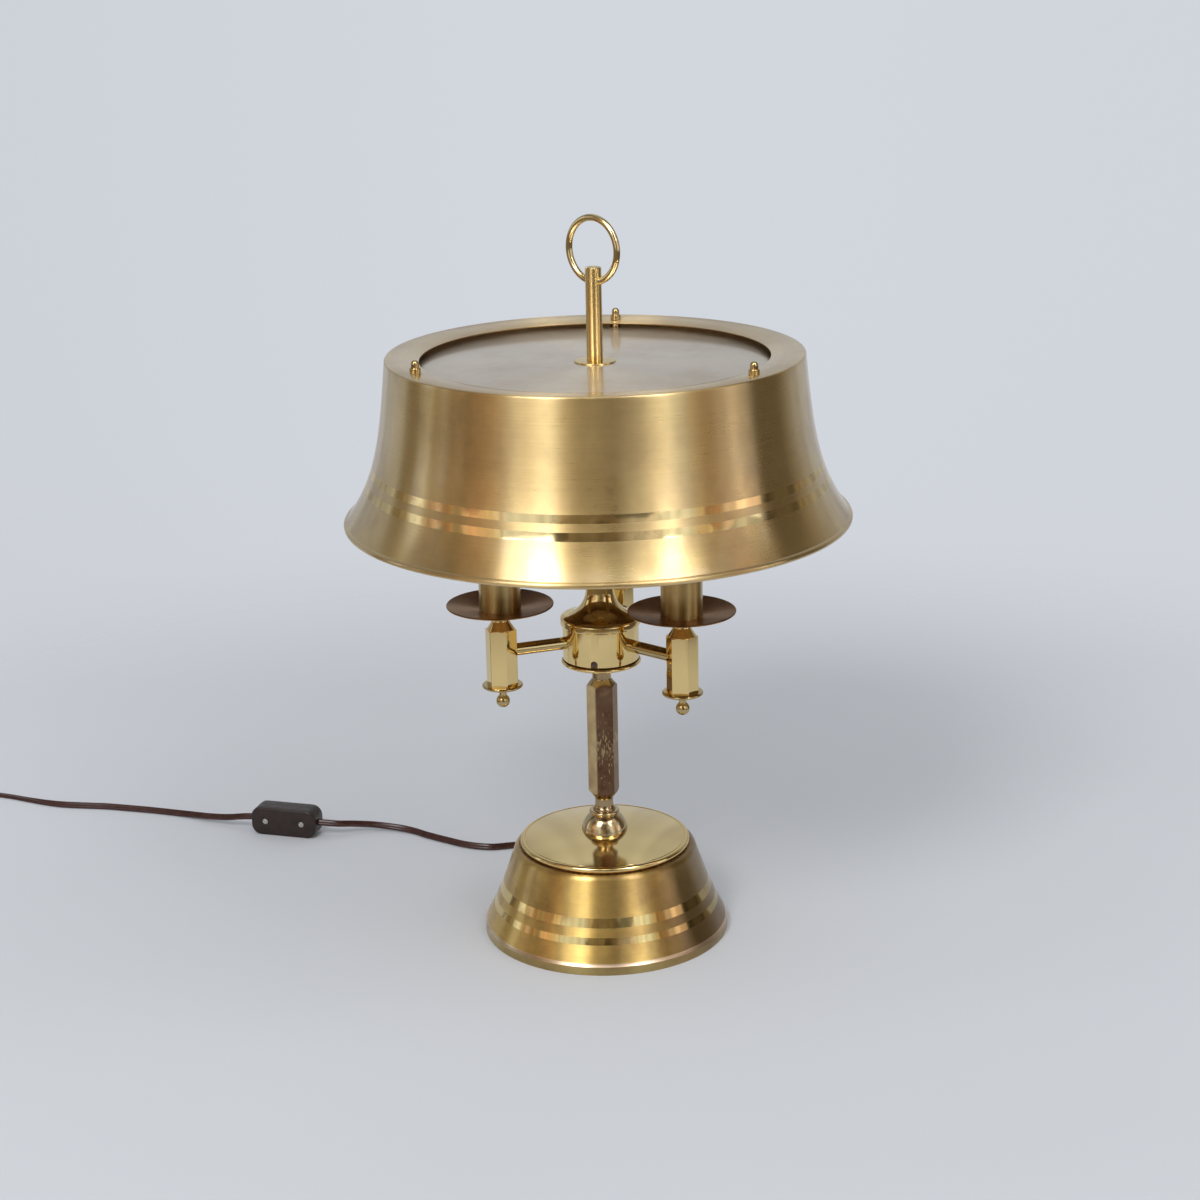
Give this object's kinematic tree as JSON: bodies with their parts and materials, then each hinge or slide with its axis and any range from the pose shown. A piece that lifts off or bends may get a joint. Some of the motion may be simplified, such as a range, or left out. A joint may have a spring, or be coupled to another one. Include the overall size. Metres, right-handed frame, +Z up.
{
  "type": "bouillotte lamp",
  "caption": "Table lamp with a weighted spun foot, hexagonal stem, radial candle arms and a turned-down metal shade clamped under a ring finial, with a corded in-line switch.",
  "frame": {"origin": "middle of the foot's underside, on the lamp's axis", "axes": "+Z up along the stem, +X to the right and +Y away from the front; the cord leaves the foot at the back"},
  "size_m": [0.8852, 0.5302, 0.5852],
  "materials": {
    "spun_brass": "satin spun brass with fine turning lines and two polished bands",
    "foot_brass": "satin spun brass, slightly tarnished, two polished bands",
    "polished_brass": "mirror-polished brass",
    "tarnished_brass": "hexagonal bar, purple-brown tarnish with worn patches",
    "satin_brass": "satin drawn brass tube",
    "bronzed_brass": "dark bronzed brass, turned",
    "grey_brass": "satin turned sheet, greyed",
    "zinc_steel": "zinc-plated steel",
    "cast_iron": "rough casting, painted",
    "plate_steel": "black painted sheet steel",
    "felt": "pressed wool felt",
    "phenolic": "moulded lampholder resin",
    "porcelain": "unglazed porcelain",
    "bulb_glass": "clear glass",
    "nickel": "nickel-plated brass",
    "cord_pvc": "flat two-core flex, reddish brown",
    "wire_pvc": "single insulated wires",
    "brown_plastic": "moulded plastic, very dark brown"
  },
  "bodies": {
    "lamp": {"base_shell": "foot_brass", "base_plate": "plate_steel", "base_felt": "felt", "base_weight": "cast_iron", "base_cap": "polished_brass", "stem_ball": "polished_brass", "stem_collar": "polished_brass", "stem": "tarnished_brass", "centre_tube": "zinc_steel", "lock_nuts": "zinc_steel", "supply_lead": "cord_pvc", "hub_plate": "polished_brass", "hub_screws": "zinc_steel", "hub_cup": "polished_brass", "hub_bell": "polished_brass", "terminal_block": "porcelain", "rod_sleeve": "satin_brass", "shade_seat": "satin_brass", "arm_back": "polished_brass", "arm_left": "polished_brass", "arm_right": "polished_brass", "arm_leads": "wire_pvc", "holder_back": "polished_brass", "holder_left": "polished_brass", "holder_right": "polished_brass", "holder_discs": "polished_brass", "ball_nuts": "polished_brass", "nipples": "zinc_steel", "dish_back": "bronzed_brass", "dish_left": "bronzed_brass", "dish_right": "bronzed_brass", "sleeve_back": "satin_brass", "sleeve_left": "satin_brass", "sleeve_right": "satin_brass", "socket_back": "phenolic", "socket_left": "phenolic", "socket_right": "phenolic", "bulb_caps": "nickel", "bulb_back": "bulb_glass", "bulb_left": "bulb_glass", "bulb_right": "bulb_glass", "cord_relief": "brown_plastic", "lamp_lead": "cord_pvc", "wall_lead": "cord_pvc", "cord_coil": "cord_pvc", "plug_lead": "cord_pvc", "plug_body": "brown_plastic", "plug_pins": "nickel", "switch_front": "brown_plastic", "switch_back": "brown_plastic", "switch_screws": "nickel"},
    "shade": {"shade_shell": "spun_brass", "shade_plate": "grey_brass", "shade_studs": "zinc_steel", "shade_spacers": "satin_brass", "shade_nuts": "polished_brass"},
    "washer": {"finial_washer": "polished_brass"},
    "finial": {"finial_post": "polished_brass", "finial_ring": "polished_brass"},
    "rocker": {"switch_rocker": "brown_plastic"}
  },
  "joints": [
    {"name": "shade_turn", "type": "hinge", "parent": "lamp", "child": "shade", "pos_m": [0, 0, 0.471], "axis": [0, 0, 1], "continuous": true},
    {"name": "finial_turn", "type": "hinge", "parent": "lamp", "child": "washer", "pos_m": [0, 0, 0.473], "axis": [0, 0, 1], "range_deg": [0, 2880]},
    {"name": "finial_lift", "type": "slide", "parent": "washer", "child": "finial", "axis": [0, 0, 1], "range_m": [0, 0.0081]},
    {"name": "rocker_tip", "type": "hinge", "parent": "lamp", "child": "rocker", "pos_m": [-0.28762, 0.21131, 0.013], "axis": [0, 0, 1], "range_deg": [0, 16]}
  ],
  "couplings": [
    {"joint": "finial_lift", "follows": "finial_turn", "m_per_rad": 0.00015915}
  ]
}
